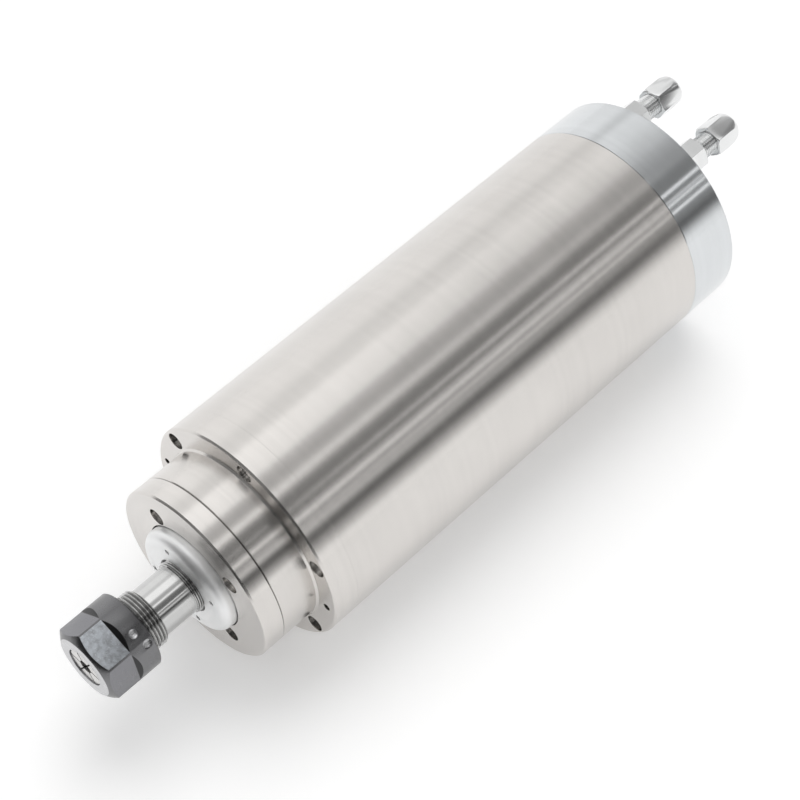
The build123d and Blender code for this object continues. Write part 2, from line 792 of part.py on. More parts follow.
def bearing_pieces():
    """Rings, balls and cages of the three bearings, with the spacers between the front pair."""
    pieces = {}
    places = [("front_bearing_1", front_starts[0]), ("front_bearing_2", front_starts[1])]
    for name, start in places:
        size = (front_pitch, front_ball, front_bore, front_outside, start, front_width)
        pieces[name + "_inner_ring"], pieces[name + "_outer_ring"] = race(*size)
        balls, cage = ball_ring(front_pitch, front_ball, front_ball_count, start, front_width)
        pieces[name + "_balls"], pieces[name + "_cage"] = balls, cage
    size = (rear_pitch, rear_ball, rear_bore, rear_outside, rear_start, rear_width)
    pieces["rear_bearing_inner_ring"], pieces["rear_bearing_outer_ring"] = race(*size)
    balls, cage = ball_ring(rear_pitch, rear_ball, rear_ball_count, rear_start, rear_width)
    pieces["rear_bearing_balls"], pieces["rear_bearing_cage"] = balls, cage
    between = (front_starts[0] + front_width, front_starts[1])
    land = front_pitch - land_step
    pieces["inner_spacer"] = tube(land, front_bore, *between)
    pieces["outer_spacer"] = tube(front_outside, front_pitch + land_step, *between)
    return pieces


def build():
    left, right = fitting_angles
    m4_screw = (m4_thread, m4_head, m4_head_height, m4_socket)
    m3_screw = (m3_thread, m3_head, m3_head_height, m3_socket)
    recess = m4_counterbore_depth - m4_head_height
    flange_screw = cap_screw(m4_screw, recess, flange_back + flange_screw_reach - screw_end_gap)
    cover_tip = cover_seam + cover_screw_reach - screw_end_gap
    cover_screw = cap_screw(m4_screw, nose_front + recess, cover_tip)
    rear_screw = cap_screw(m4_screw, body_end - recess, sleeve_back + 2 * screw_end_gap)
    sleeve_head = rear_flange_back - m3_pocket_depth + m3_head_height
    sleeve_tip = sleeve_back - sleeve_screw_reach + screw_end_gap
    sleeve_screw = cap_screw(m3_screw, sleeve_head, sleeve_tip)
    pieces = {
        "outer_jacket": outer_jacket(),
        "front_bearing_housing": front_bearing_housing(),
        "flange_screws": grouped(flange_screw, flange_angles, flange_screw_circle),
        "front_cover": front_cover(),
        "front_cover_screws": grouped(cover_screw, cover_angles, cover_screw_circle),
        "cooling_sleeve": cooling_sleeve(),
        "sleeve_o_rings": sleeve_o_rings(),
        "stator_core": stator_core(),
        "stator_winding": stator_winding(),
        "rear_bearing_housing": rear_bearing_housing(),
        "rear_bearing_housing_screws": grouped(sleeve_screw, sleeve_screw_angles, sleeve_screw_circle),
        "preload_disc_springs": preload_disc_springs(),
        "rear_cover": rear_cover(),
        "rear_cover_screws": grouped(rear_screw, rear_angles, rear_screw_circle),
        "sealing_washers": sealing_washers(),
        "left_fitting_body": fitting_body(left, fitting_corners[0]),
        "right_fitting_body": fitting_body(right, fitting_corners[1]),
        "connector_shell": connector_shell(),
        "connector_insulator": connector_insulator(),
        "connector_pins": connector_pins(),
        "connector_screws": connector_screws(),
        "spindle_shaft": spindle_shaft(),
        "rotor_core": tube(rotor_radius, rotor_seat, core_front, core_back),
        "rotor_end_rings": rotor_end_rings(),
        "rear_lock_nut": rear_lock_nut(),
        "dust_cap": dust_cap(),
        "balance_screws": balance_screws(),
        "collet": collet(),
        "collet_nut": collet_nut(),
        "left_ferrule": ferrule(left),
        "left_hose_nut": hose_nut(left, hose_nut_corners[0]),
        "right_ferrule": ferrule(right),
        "right_hose_nut": hose_nut(right, hose_nut_corners[1]),
    }
    pieces.update(bearing_pieces())
    os.makedirs("parts", exist_ok=True)
    for name, piece in pieces.items():
        export_step(Pos(0, -clamp_middle, 0) * piece, f"parts/{name}.step")


build()
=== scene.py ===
"""Finish and studio for a water-cooled motor spindle, laid out as a Blender add-on."""

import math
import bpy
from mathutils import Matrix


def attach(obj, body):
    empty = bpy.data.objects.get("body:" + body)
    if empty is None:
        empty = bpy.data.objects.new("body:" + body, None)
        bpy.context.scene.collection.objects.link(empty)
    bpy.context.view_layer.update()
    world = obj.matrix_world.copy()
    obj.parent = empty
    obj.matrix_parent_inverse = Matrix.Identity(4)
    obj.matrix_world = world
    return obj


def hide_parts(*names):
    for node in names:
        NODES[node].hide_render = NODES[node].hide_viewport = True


bl_info = {
    "name": "Motor Spindle Finish",
    "version": (1, 0, 0),
    "blender": (4, 5, 0),
    "location": "3D View > Sidebar > Spindle",
    "description": "Turned steel, threads, nuts and studio light for a packed motor spindle",
    "category": "Object",
}

import bmesh
import bpy
from bpy.props import FloatProperty, FloatVectorProperty, IntProperty, PointerProperty
from bpy.types import Operator, Panel, PropertyGroup
from mathutils import Matrix, Vector

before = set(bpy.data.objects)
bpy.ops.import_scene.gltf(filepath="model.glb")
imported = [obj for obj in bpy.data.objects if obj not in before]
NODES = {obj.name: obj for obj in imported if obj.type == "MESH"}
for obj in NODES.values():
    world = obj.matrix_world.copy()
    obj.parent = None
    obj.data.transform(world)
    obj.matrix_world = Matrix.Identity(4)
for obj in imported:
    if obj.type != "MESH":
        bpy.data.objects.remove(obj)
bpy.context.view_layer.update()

MM = 0.001
CLAMP_MIDDLE = 112.0
FULL_TURN = 2 * math.pi
ROUND_STEPS = 192
FITTING_STEPS = 96
DRILL_STEPS = 48
DOME_STEPS = 8
HEX_SIDES = 6
SIXTH_TURN = FULL_TURN / HEX_SIDES
SHARP_ANGLE = math.radians(28)
WELD = 2e-7

# Camera and studio, metres, with the lens in millimetres
CAMERA_PLACE = (0.34272, -0.37620, 0.69772)
CAMERA_AZIMUTH = math.radians(44.386)
CAMERA_ELEVATION = math.radians(54.814)
FOCAL_LENGTH = 94.377
SENSOR_WIDTH = 36.0
CAMERA_CLIP = (0.01, 50.0)
FLOOR_HEIGHT = -0.0502
FLOOR_REACH = 6.0
FLOOR_GLOW = 0.17
FLOOR_MOTTLE = 0.005
FLOOR_SCALE = 3.0
SCREEN_PLACE = -0.42
SCREEN_HALF_WIDTH = 0.5
SCREEN_TOP = 0.06
SCREEN_LIFT = 0.001
LAMP_SPREAD = math.radians(45)
# Name, place and power of each lamp
LAMPS = (("key_lamp", (-0.3, 0.45, 1.2), 1.1), ("fill_lamp", (0.9, -0.7, 0.9), 0.25))
WHITE = (1, 1, 1, 1)
ROOM_GREY = (0.6, 0.6, 0.6, 1)
DARK_END = (0.04, 0.04, 0.04, 1)
SCREEN_BLACK = (0.02, 0.02, 0.02, 1)

# Where a direction's Y turns the room from front to rear, and darkens it in front of the nose
REAR_TURN = (0.34, 0.45)
NOSE_TURN = (-0.3, -0.6)
NOSE_SHADE = 0.85

# Studio brightness by direction round Y, from +X over +Z to -X: half turns and level
FRONT_STUDIO = (
    (0.0, 1.16), (0.03, 1.16), (0.052, 0.62), (0.082, 0.36), (0.1, 0.26), (0.118, 0.1), (0.136, 0.1),
    (0.153, 0.45), (0.168, 0.98), (0.18, 0.98), (0.195, 0.42), (0.222, 0.26), (0.23, 1.15), (0.246, 1.15),
    (0.258, 0.26), (0.3, 0.18), (0.36, 0.3), (0.382, 0.6), (0.396, 1.45), (0.418, 1.45), (0.436, 0.72),
    (0.47, 0.6), (0.515, 0.82), (0.54, 1.5), (0.68, 1.5), (0.71, 1.0), (0.765, 1.0), (0.81, 1.22),
    (0.95, 1.2), (1.0, 1.05),
)
REAR_STUDIO = (
    (0.0, 1.03), (0.03, 1.0), (0.06, 0.66), (0.092, 0.24), (0.115, 0.12), (0.165, 0.24), (0.186, 0.3),
    (0.191, 1.4), (0.199, 1.4), (0.204, 0.3), (0.229, 0.3), (0.233, 1.25), (0.239, 1.25), (0.244, 0.4),
    (0.252, 0.4), (0.255, 0.95), (0.261, 0.95), (0.266, 0.26), (0.291, 0.26), (0.295, 1.3), (0.306, 1.3),
    (0.312, 0.25), (0.38, 0.26), (0.45, 0.38), (0.53, 0.52), (0.6, 0.68), (0.68, 0.86), (0.77, 1.0),
    (0.82, 0.74), (0.88, 1.0), (1.0, 0.98),
)

# Noises that a finish is made from: their spread, their scales and how far they change colour and gloss
CLOUD_RANGE = (0.35, 0.65)
GRAIN_RANGE = (0.3, 0.7)
CLOUD_SCALE = 34.0
BAND_SCALE = 260.0
CLOUD_TO_GRAIN = 18
CLOUD_SHARE = 0.6
GRAIN_SHARE = 0.6
# So little of the angle goes into the grooves' noise that they run nearly all the way round
AROUND_SHARE = 0.0006
STEEL_MOTTLE = 0.04
TURNED_SPREAD = 0.14
PLAIN_SPREAD = 0.15
# A quarter turn lays the streaks of light across the grooves
GROOVE_TURN = 0.25
BUMP_DEPTH = 0.0002
ROUNDING_SAMPLES = 4

# Painted shade in the thread roots: where it starts and ends as shares of a thread's depth; then how dark the
# dirt in the seams and the painted shade in the screw holes are
ROOT_SHADE_START = 0.05
ROOT_SHADE_END = 0.6
SEAM_SHADE = 0.3
POCKET_SHADE = 0.28

# Seam between the nose and its cover, and half the width of its dirt, millimetres
NOSE_SEAM = -17.5
SEAM_HALF = 0.12

# Painted shade on the outer walls of the screw holes, millimetres: middle radius, half the width, front and
# back
FLANGE_POCKETS = (47.0, 2.1, 0.4, 7.0)
NOSE_POCKETS = (32.0, 2.1, -26.85, -20.0)

# One turn of a thread, as shares of its pitch
CREST_END = 0.14
ROOT_START = 0.56
ROOT_END = 0.66
THREAD_MARKS = (0.0, CREST_END, 0.35, ROOT_START, ROOT_END, 0.83)

# Shaft, millimetres, with places along Y counted from the flange face
SHAFT_THREAD_MAJOR = 12.5
SHAFT_THREAD_MINOR = 11.5
SHAFT_FRONT = -75.0
TAPER_FRONT = -74.0
TAPER_BACK = -48.8
TAPER_RADIUS = 10.5
TAPER_GAP = 0.05
TAPER_ANGLE = math.radians(8)
BORE_RADIUS = 6.6
BORE_END = -26.0
BORE_TIP = -22.0
NECK_RADIUS = 10.8
NECK_FRONT = -51.0
NECK_BACK = -35.3
NECK_CHAMFER = 0.3
RING_BACK = -32.5
RING_MAJOR = 11.8
RING_MINOR = 11.2
RING_PITCH = 1.0
# Behind the ring: radius of each step and where it ends
SHAFT_STEPS = ((12.5, 16.0), (15.0, 55.0), (13.5, 158.0), (11.2, 187.0), (8.5, 204.3))
STEP_CHAMFER = 0.9
SHAFT_BACK = 205.0
SHAFT_BACK_RADIUS = 7.8

# Collet nut, millimetres
NUT_RADIUS = 17.0
NUT_BACK = -59.0
NUT_FRONT = -82.5
NUT_FLOOR = -75.6
NUT_FACE_RADIUS = 13.4
NUT_FACE_END = -80.0
NUT_OPENING = 8.6
NUT_BORE = 12.55
NUT_BORE_CHAMFER = 0.7
NUT_BACK_CHAMFER = 0.5
CONE_ANGLE = math.radians(30)
CONE_GAP = 0.06
GROOVE_FRONT = -80.2
GROOVE_BACK = -78.7
COLLET_RING = 7.7
COLLET_RING_CHAMFER = 0.2
HEX_BACK = -69.6
HEX_FLATS = 30.0
HEX_CORNER = math.radians(40)
SHOULDER_SPLAY = 10.0
NUT_CUTTER_RADIUS = 30.0
NUT_CUTTER_LIP = 2.0

# Holes in the nut: angle and place of each, and the drill's outline as radius and distance from the axis
BALANCE_HOLES = ((57.0, -64.4), (35.0, -62.2))
DRILL = ((0.0, 14.8), (1.9, 15.8), (1.9, 19.0), (0.0, 19.0))
# Where the drilled holes show bare metal: radii and places
DRILLED_RADII = (14.6, 16.8)
DRILLED_PLACES = (-67.0, -59.8)

# Nut finish: where each mask lies, in millimetres, and how strong, rough and fine it is
FLAT_HALF = 0.06
EDGE_MARGIN = 0.1
# Painted shade on one side of the nut: the middle angle of that side, where it fades in, and its level
SIDE_SHADE_MIDDLE = math.radians(72)
SIDE_SHADE_RANGE = (0.7, 0.95)
SIDE_SHADE_LEVEL = 0.68
# Painted shade on the sloping shoulders behind the flats: its level, the places it covers and how far beyond a
# flat it starts
SHOULDER_SHADE = 0.25
SHOULDER_PLACES = (-70.0, -66.6)
SHOULDER_STEP = 0.08
WEAR_RANGE = (0.38, 0.58)
WEAR_LEVELS = (0.4, 1.0)
SPECK_RANGE = (0.63, 0.7)
SPECK_STRENGTH = 0.5
SPECK_COLOUR = (0.8, 0.84, 0.86, 1.0)
BARE_COLOUR = (0.56, 0.56, 0.57, 1.0)
FACE_DEPTH = 0.08
PATCH_SCALE = 380.0
SPECK_SCALE = 1900.0
OXIDE_SCALE = 2600.0
OXIDE_ROUGHNESS = (0.22, 0.38)
WORN_ROUGHNESS = 0.12
OXIDE_GRAIN = 0.12

# Water fittings, millimetres: place round the axis, then the corners of the base's and the hose nut's
# hexagons
FITTINGS = {
    "left": (math.radians(114.5), math.radians(54.0), math.radians(8.0)),
    "right": (math.radians(66.0), math.radians(57.0), math.radians(43.0)),
}
FITTING_CIRCLE = 38.0
FITTING_FLATS = 13.0
FITTING_BORE = 2.0
FITTING_SPIGOT = 4.8
FITTING_START = 228.5
FITTING_SEAT = 238.5
FITTING_HEX_END = 248.3
FITTING_HEX_CHAMFER = (0.6, 0.35)
FITTING_UNDERCUT = (4.4, 0.9)
FITTING_THREAD_GAP = 1.1
FITTING_THREAD_MAJOR = 5.0
FITTING_THREAD_MINOR = 4.45
FITTING_NECK_END = 261.5
HOSE_STUB = (
    (2.8, 263.0), (2.5, 263.1), (2.8, 264.4), (2.5, 264.5), (2.8, 265.8), (2.5, 266.0), (2.5, 266.7),
    (2.3, 267.0),
)
HOSE_STUB_RADIUS = 2.8
FITTING_CUTTER_RADIUS = 12.0
FITTING_CUTTER_LIP = 0.01
HOSE_CUTTER_LIP = 1.0
HOSE_NUT_START = 256.4
HOSE_NUT_HEX_END = 263.4
HOSE_NUT_END = 270.4
HOSE_NUT_RIM = 5.0
HOSE_NUT_OPENING = 4.2
HOSE_NUT_BORE = 5.05
HOSE_NUT_CONE = (264.2, 265.52)
HOSE_NUT_CHAMFER = (0.8, 0.55)
HOSE_NUT_EDGE_SHARE = 0.7


def settings():
    """The sizes and colours kept on the scene."""
    return bpy.context.scene.spindle_finish


def colour_property(name, description, default):
    """A colour that a user would change."""
    return FloatVectorProperty(
        name=name, description=description, default=default, subtype="COLOR", size=3, min=0.0, max=1.0
    )


def length_property(name, description, default):
    """A length in metres that a user would change."""
    return FloatProperty(
        name=name, description=description, default=default, subtype="DISTANCE", unit="LENGTH", min=0.0
    )


class SpindleFinish(PropertyGroup):
    """Sizes and colours of the spindle's finish."""

    body_colour: colour_property("Body steel", "Ground steel of the jacket and nose", (0.665, 0.642, 0.618))
    cover_colour: colour_property("Rear cover steel", "Cooler steel of the rear cover", (0.67, 0.688, 0.7))
    cap_colour: colour_property("Dust cap steel", "Pale satin metal of the dust cap", (0.91, 0.915, 0.915))
    shaft_colour: colour_property("Shaft steel", "Polished steel of the shaft", (0.565, 0.565, 0.56))
    nut_colour: colour_property("Nut oxide", "Dark oxide of the collet nut", (0.2, 0.2, 0.205))
    flat_colour: colour_property("Nut flats", "Grey of the nut's six flats", (0.23, 0.23, 0.243))
    worn_colour: colour_property("Worn flat", "Bare metal of the nut's most worn flat", (0.53, 0.56, 0.595))
    nickel_colour: colour_property("Nickel", "Bright plating of the water fittings", (0.79, 0.795, 0.795))
    floor_colour: colour_property("Floor", "Pale studio floor", (0.93, 0.93, 0.93))
    groove_width: length_property("Groove width", "Width of one turning groove on the steel", 0.0004)
    edge_radius: length_property("Edge radius", "Rounding that the metal shows along its edges", 0.0002)
    thread_pitch: length_property("Nose thread pitch", "Pitch of the collet nut's thread", 0.0015)
    fitting_pitch: length_property("Fitting thread pitch", "Pitch of the water fittings' thread", 0.001)
    nut_edge: length_property("Nut edge", "Width of the broken edges on the hexagons", 0.00022)
    round_steps: IntProperty(
        name="Round steps", description="Facets round a turned piece", default=ROUND_STEPS, min=24
    )


# Nodes of a material
def add_node(tree, kind, inputs=None, **options):
    """Add one node, set its options, and link or set its inputs."""
    made = tree.nodes.new(kind)
    for key, value in options.items():
        setattr(made, key, value)
    for key, value in (inputs or {}).items():
        link_or_set(tree, made.inputs[key], value)
    return made


def link_or_set(tree, socket, value):
    """Link another node's output to a socket, or set the socket's own value."""
    if isinstance(value, bpy.types.NodeSocket):
        tree.links.new(value, socket)
    else:
        socket.default_value = value


def maths(tree, operation, first, second=0.0):
    """One step of arithmetic on a number."""
    return add_node(tree, "ShaderNodeMath", {0: first, 1: second}, operation=operation).outputs[0]


def weigh(tree, first, second, share):
    """Two numbers added, the first by its share and the second by the rest."""
    return maths(
        tree, "ADD", maths(tree, "MULTIPLY", first, share), maths(tree, "MULTIPLY", second, 1 - share))


def remap(tree, value, low, high, to_low, to_high):
    """Carry a number from one range to another, held at its ends."""
    inputs = {"Value": value, "From Min": low, "From Max": high, "To Min": to_low, "To Max": to_high}
    return add_node(tree, "ShaderNodeMapRange", inputs).outputs[0]


def between(tree, value, low, high):
    """One where a number lies between two others."""
    return maths(
        tree, "MULTIPLY", maths(tree, "GREATER_THAN", value, low), maths(tree, "LESS_THAN", value, high))


def mix_colour(tree, share, first, second):
    """Mix two colours by a share."""
    made = add_node(tree, "ShaderNodeMix", {0: share}, data_type="RGBA")
    link_or_set(tree, made.inputs[6], first)
    link_or_set(tree, made.inputs[7], second)
    return made.outputs[2]


def noise(tree, place, scale, detail=2.0, rough=0.5):
    """Noise over a place."""
    inputs = {"Vector": place, "Scale": scale, "Detail": detail, "Roughness": rough}
    return add_node(tree, "ShaderNodeTexNoise", inputs).outputs["Fac"]


def blank_material(name):
    """A new material with its surface shader, and the piece's own coordinates."""
    material = bpy.data.materials.new(name)
    material.use_nodes = True
    tree = material.node_tree
    surface = tree.nodes["Principled BSDF"]
    place = add_node(tree, "ShaderNodeTexCoord").outputs["Object"]
    return material, tree, surface, place


def opaque(colour, factor=1.0):
    """A colour with its alpha, made lighter or darker."""
    return (*[min(1.0, c * factor) for c in colour], 1.0)


def clouded(tree, cloud, colour, mottle):
    """A colour that a cloudy number makes a little lighter and darker."""
    shade = remap(tree, cloud, *CLOUD_RANGE, 0.0, 1.0)
    return mix_colour(tree, shade, opaque(colour, 1 - mottle), opaque(colour, 1 + mottle))


def uneven(tree, grain, roughness, spread):
    """Roughness that a grain raises and lowers by a spread."""
    return remap(tree, grain, *GRAIN_RANGE, roughness * (1 - spread), roughness * (1 + spread))


def finish_surface(tree, surface, colour, roughness, height, bump):
    """Link colour, roughness and bump, with the edges rounded a little."""
    tree.links.new(colour, surface.inputs["Base Color"])
    tree.links.new(roughness, surface.inputs["Roughness"])
    rounding = {"Radius": settings().edge_radius}
    rounded = add_node(tree, "ShaderNodeBevel", rounding, samples=ROUNDING_SAMPLES).outputs[0]
    inputs = {"Height": height, "Distance": BUMP_DEPTH, "Strength": bump, "Normal": rounded}
    tree.links.new(add_node(tree, "ShaderNodeBump", inputs).outputs[0], surface.inputs["Normal"])


def round_axis(tree, place, centre=(0.0, 0.0)):
    """Distance from an axis along Y, place along it, and angle round it."""
    offset = {0: place, 1: (centre[0], 0, centre[1])}
    centred = add_node(tree, "ShaderNodeVectorMath", offset, operation="SUBTRACT").outputs[0]
    x, y, z = add_node(tree, "ShaderNodeSeparateXYZ", {0: centred}).outputs
    square = maths(tree, "ADD", maths(tree, "MULTIPLY", x, x), maths(tree, "MULTIPLY", z, z))
    return maths(tree, "SQRT", square), y, maths(tree, "ARCTAN2", z, x)


def along(tree, y, start, end):
    """One between two places in millimetres along the axis."""
    return between(tree, y, y_place(start), y_place(end))


def strongest(tree, shares):
    """The largest of several shares."""
    total = shares[0]
    for share in shares[1:]:
        total = maths(tree, "MAXIMUM", total, share)
    return total


def thread_painted_shade(tree, radius, y, threads):
    """Painted shade in the roots of threads, each given by its ends, root and crest in millimetres."""
    shares = []
    for start, end, root, crest in threads:
        deep, shallow = (root + part * (crest - root) for part in (ROOT_SHADE_START, ROOT_SHADE_END))
        depth = remap(tree, radius, deep * MM, shallow * MM, 1.0, 0.0)
        shares.append(maths(tree, "MULTIPLY", along(tree, y, start, end), depth))
    return strongest(tree, shares)


def seam_grime(tree, y, seams):
    """Dark dirt in the joints between turned pieces, each given by its place."""
    return strongest(tree, [along(tree, y, place - SEAM_HALF, place + SEAM_HALF) for place in seams])


def pocket_painted_shade(tree, radius, y, pockets):
    """Painted shade on the outer walls of screw holes, each ring given by its middle radius, half its width
    and its ends.
    """
    shares = []
    for circle, half, start, end in pockets:
        across = between(tree, radius, (circle - half) * MM, (circle + half) * MM)
        shares.append(maths(tree, "MULTIPLY", across, along(tree, y, start, end)))
    return strongest(tree, shares)


def turned_metal(
    name, colour, roughness, anisotropy, centre=(0.0, 0.0), grooves=0.12, threads=(), seams=(), pockets=(),
    root_shade=0.5,
):
    """Metal with fine grooves round an axis along Y, as a lathe or a grinder leaves it."""
    material, tree, surface, place = blank_material(name)
    radius, y, around = round_axis(tree, place, centre)
    spread = {0: radius, 1: y, 2: maths(tree, "MULTIPLY", around, AROUND_SHARE)}
    turning = add_node(tree, "ShaderNodeCombineXYZ", spread).outputs[0]
    fine = noise(tree, turning, 1 / settings().groove_width, detail=3.0, rough=0.7)
    broad = noise(tree, turning, BAND_SCALE, rough=0.6)
    cloud = noise(tree, place, CLOUD_SCALE, detail=3.0, rough=0.55)
    base = clouded(tree, weigh(tree, cloud, broad, CLOUD_SHARE), colour, STEEL_MOTTLE)
    # Painted shade darkens the thread roots
    if threads:
        base = mix_colour(tree, thread_painted_shade(tree, radius, y, threads), base, opaque(colour, root_shade))
    if seams:
        base = mix_colour(tree, seam_grime(tree, y, seams), base, opaque(colour, SEAM_SHADE))
    # Painted shade on the outer walls of the screw holes
    if pockets:
        base = mix_colour(tree, pocket_painted_shade(tree, radius, y, pockets), base, opaque(colour, POCKET_SHADE))
    rough = uneven(tree, weigh(tree, fine, cloud, GRAIN_SHARE), roughness, TURNED_SPREAD)
    finish_surface(tree, surface, base, rough, fine, grooves)
    surface.inputs["Metallic"].default_value = 1.0
    surface.inputs["Anisotropic"].default_value = anisotropy
    surface.inputs["Anisotropic Rotation"].default_value = GROOVE_TURN
    tangent = add_node(tree, "ShaderNodeTangent", direction_type="RADIAL", axis="Y").outputs[0]
    tree.links.new(tangent, surface.inputs["Tangent"])
    return material


def plain_finish(name, colour, roughness, metallic=0.0, scale=900.0, mottle=0.06, bump=0.15):
    """A fine-grained finish without direction, such as plating, rubber or moulded plastic."""
    material, tree, surface, place = blank_material(name)
    grain = noise(tree, place, scale, detail=3.0, rough=0.6)
    cloud = noise(tree, place, scale / CLOUD_TO_GRAIN, detail=3.0, rough=0.55)
    base = clouded(tree, cloud, colour, mottle)
    rough = uneven(tree, grain, roughness, PLAIN_SPREAD)
    finish_surface(tree, surface, base, rough, grain, bump)
    surface.inputs["Metallic"].default_value = metallic
    return material


# Meshes
def y_place(value):
    """A place counted from the flange face, in millimetres, as metres in the frame."""
    return (value - CLAMP_MIDDLE) * MM


def ring_angles(steps):
    """The angles of one ring of points."""
    return [FULL_TURN * step / steps for step in range(steps)]


def ring_point(mesh, radius, angle, place, centre):
    """One point at a distance and angle round an axis along Y, all in millimetres."""
    x = (centre[0] + radius * math.cos(angle)) * MM
    z = (centre[1] + radius * math.sin(angle)) * MM
    return mesh.verts.new((x, y_place(place), z))


def hex_point(flats):
    """The corner radius of a hexagon of a width across flats."""
    return flats / 2 / math.cos(math.radians(30))


def join_rings(mesh, low, high):
    """Close the strip between two rings of points."""
    for step in range(len(low)):
        after = (step + 1) % len(low)
        mesh.faces.new((low[step], high[step], high[after], low[after]))


def lathe(mesh, profile, steps, centre=(0.0, 0.0), closed=False):
    """Turn a line of (radius, place) points about an axis along Y."""
    rings = [
        [ring_point(mesh, radius, angle, place, centre) for angle in ring_angles(steps)]
        for radius, place in profile
    ]
    for low, high in zip(rings, rings[1:]):
        join_rings(mesh, low, high)
    if closed:
        join_rings(mesh, rings[-1], rings[0])


def helix(mesh, start, end, major, minor, pitch, steps, centre=(0.0, 0.0)):
    """A screw thread between two places, cut back to its root at both ends."""
    per_turn = len(THREAD_MARKS)
    rows = [turn + mark for turn in range(int((end - start) / pitch) + 3) for mark in THREAD_MARKS]

    def radius_at(place, angle):
        phase = ((place - start) / pitch - angle / FULL_TURN) % 1.0
        if phase < CREST_END:
            share = 1.0
        elif phase < ROOT_START:
            share = 1 - (phase - CREST_END) / (ROOT_START - CREST_END)
        elif phase < ROOT_END:
            share = 0.0
        else:
            share = (phase - ROOT_END) / (1 - ROOT_END)
        room = min(place - start, end - place)
        return min(minor + (major - minor) * share, minor + max(0.0, room))

    points = []
    for row in rows:
        line = []
        for angle in ring_angles(steps):
            place = min(end, max(start, start + (row - 1 + angle / FULL_TURN) * pitch))
            line.append(ring_point(mesh, radius_at(place, angle), angle, place, centre))
        points.append(line)
    for row in range(len(rows) - 1):
        for step in range(steps):
            after, shift = (step + 1, 0) if step + 1 < steps else (0, per_turn)
            if row + 1 + shift >= len(rows):
                continue
            mesh.faces.new((
                points[row][step], points[row + 1][step],
                points[row + 1 + shift][after], points[row + shift][after],
            ))


def hexagon_cutter(name, flats, start, end, corner, outer, centre=(0.0, 0.0), splay=0.0):
    """A thick ring along Y round a hexagonal hole, which cuts flats on a turned piece.

    The ring's end may splay, which leaves a sloping shoulder behind each flat.
    """
    mesh = bmesh.new()
    corners = [corner + SIXTH_TURN * side for side in range(HEX_SIDES)]
    point = hex_point(flats)
    outline = ((point, start), (point, end), (outer, end + splay), (outer, start))
    rings = [
        [ring_point(mesh, radius, angle, place, centre) for angle in corners] for radius, place in outline
    ]
    for index, low in enumerate(rings):
        join_rings(mesh, low, rings[(index + 1) % len(rings)])
    return finish_mesh(mesh, name)


def finish_mesh(mesh, name):
    """Weld, turn the faces outwards and make an object of them."""
    bmesh.ops.remove_doubles(mesh, verts=mesh.verts, dist=WELD)
    bmesh.ops.dissolve_degenerate(mesh, dist=WELD, edges=mesh.edges)
    bmesh.ops.recalc_face_normals(mesh, faces=mesh.faces)
    data = bpy.data.meshes.new(name)
    mesh.to_mesh(data)
    mesh.free()
    made = bpy.data.objects.new(name, data)
    bpy.context.scene.collection.objects.link(made)
    smooth_by_angle(made)
    return made


def smooth_by_angle(piece):
    """Smooth shading that keeps sharp edges."""
    piece.data.shade_smooth()
    piece.data.set_sharp_from_angle(angle=SHARP_ANGLE)


def cut_away(piece, cutter):
    """Cut one mesh from another for good."""
    modifier = piece.modifiers.new("cut", "BOOLEAN")
    modifier.operation, modifier.solver, modifier.object = "DIFFERENCE", "EXACT", cutter
    apply_modifiers(piece)
    bpy.data.objects.remove(cutter)


def apply_modifiers(piece):
    """Make the piece's modified mesh its own mesh."""
    bpy.context.view_layer.update()
    graph = bpy.context.evaluated_depsgraph_get()
    finished = bpy.data.meshes.new_from_object(piece.evaluated_get(graph))
    piece.modifiers.clear()
    old, piece.data = piece.data, finished
    bpy.data.meshes.remove(old)


def break_edges(piece, width):
    """Small bevels along the sharp edges."""
    modifier = piece.modifiers.new("edges", "BEVEL")
    modifier.width, modifier.segments = width, 2
    modifier.limit_method, modifier.angle_limit = "ANGLE", SHARP_ANGLE
    modifier.miter_outer = "MITER_ARC"
    apply_modifiers(piece)
    smooth_by_angle(piece)


def coat(piece, material):
    """Give a piece one material all over."""
    piece.data.materials.clear()
    piece.data.materials.append(material)


def dress(names, material):
    """Give CAD nodes a new material."""
    for name in names:
        coat(NODES[name], material)


def ending(*endings):
    """The CAD nodes whose names have one of these endings."""
    return [name for name in NODES if name.endswith(endings)]


def rides(piece, body, slot, *replaced):
    """Put a piece on its body, in place of its CAD nodes; its material slot is not used."""
    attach(piece, body)
    if replaced:
        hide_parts(*replaced)


class SPINDLE_OT_housing(Operator):
    """Ground and turned steel for the jacket, the nose and the rear cover"""

    bl_idname = "spindle.housing"
    bl_label = "Housing"

    def execute(self, context):
        sizes = settings()
        # The body steel has dark dirt in the nose seam and painted shade in the screw holes
        body = turned_metal(
            "ground_body_steel", sizes.body_colour, roughness=0.23, anisotropy=0.9, grooves=0.09,
            seams=(NOSE_SEAM,), pockets=(FLANGE_POCKETS, NOSE_POCKETS))
        cover = turned_metal(
            "turned_cover_steel", sizes.cover_colour, roughness=0.15, anisotropy=0.9, grooves=0.06)
        dress(["outer_jacket", "front_bearing_housing", "front_cover"], body)
        dress(["rear_cover"], cover)
        return {"FINISHED"}


class SPINDLE_OT_screws(Operator):
    """Bright socket screws"""

    bl_idname = "spindle.screws"
    bl_label = "Screws"

    def execute(self, context):
        steel = plain_finish("screw_steel_bright", (0.78, 0.77, 0.75), roughness=0.2, metallic=1.0)
        dress(ending("_screws"), steel)
        return {"FINISHED"}


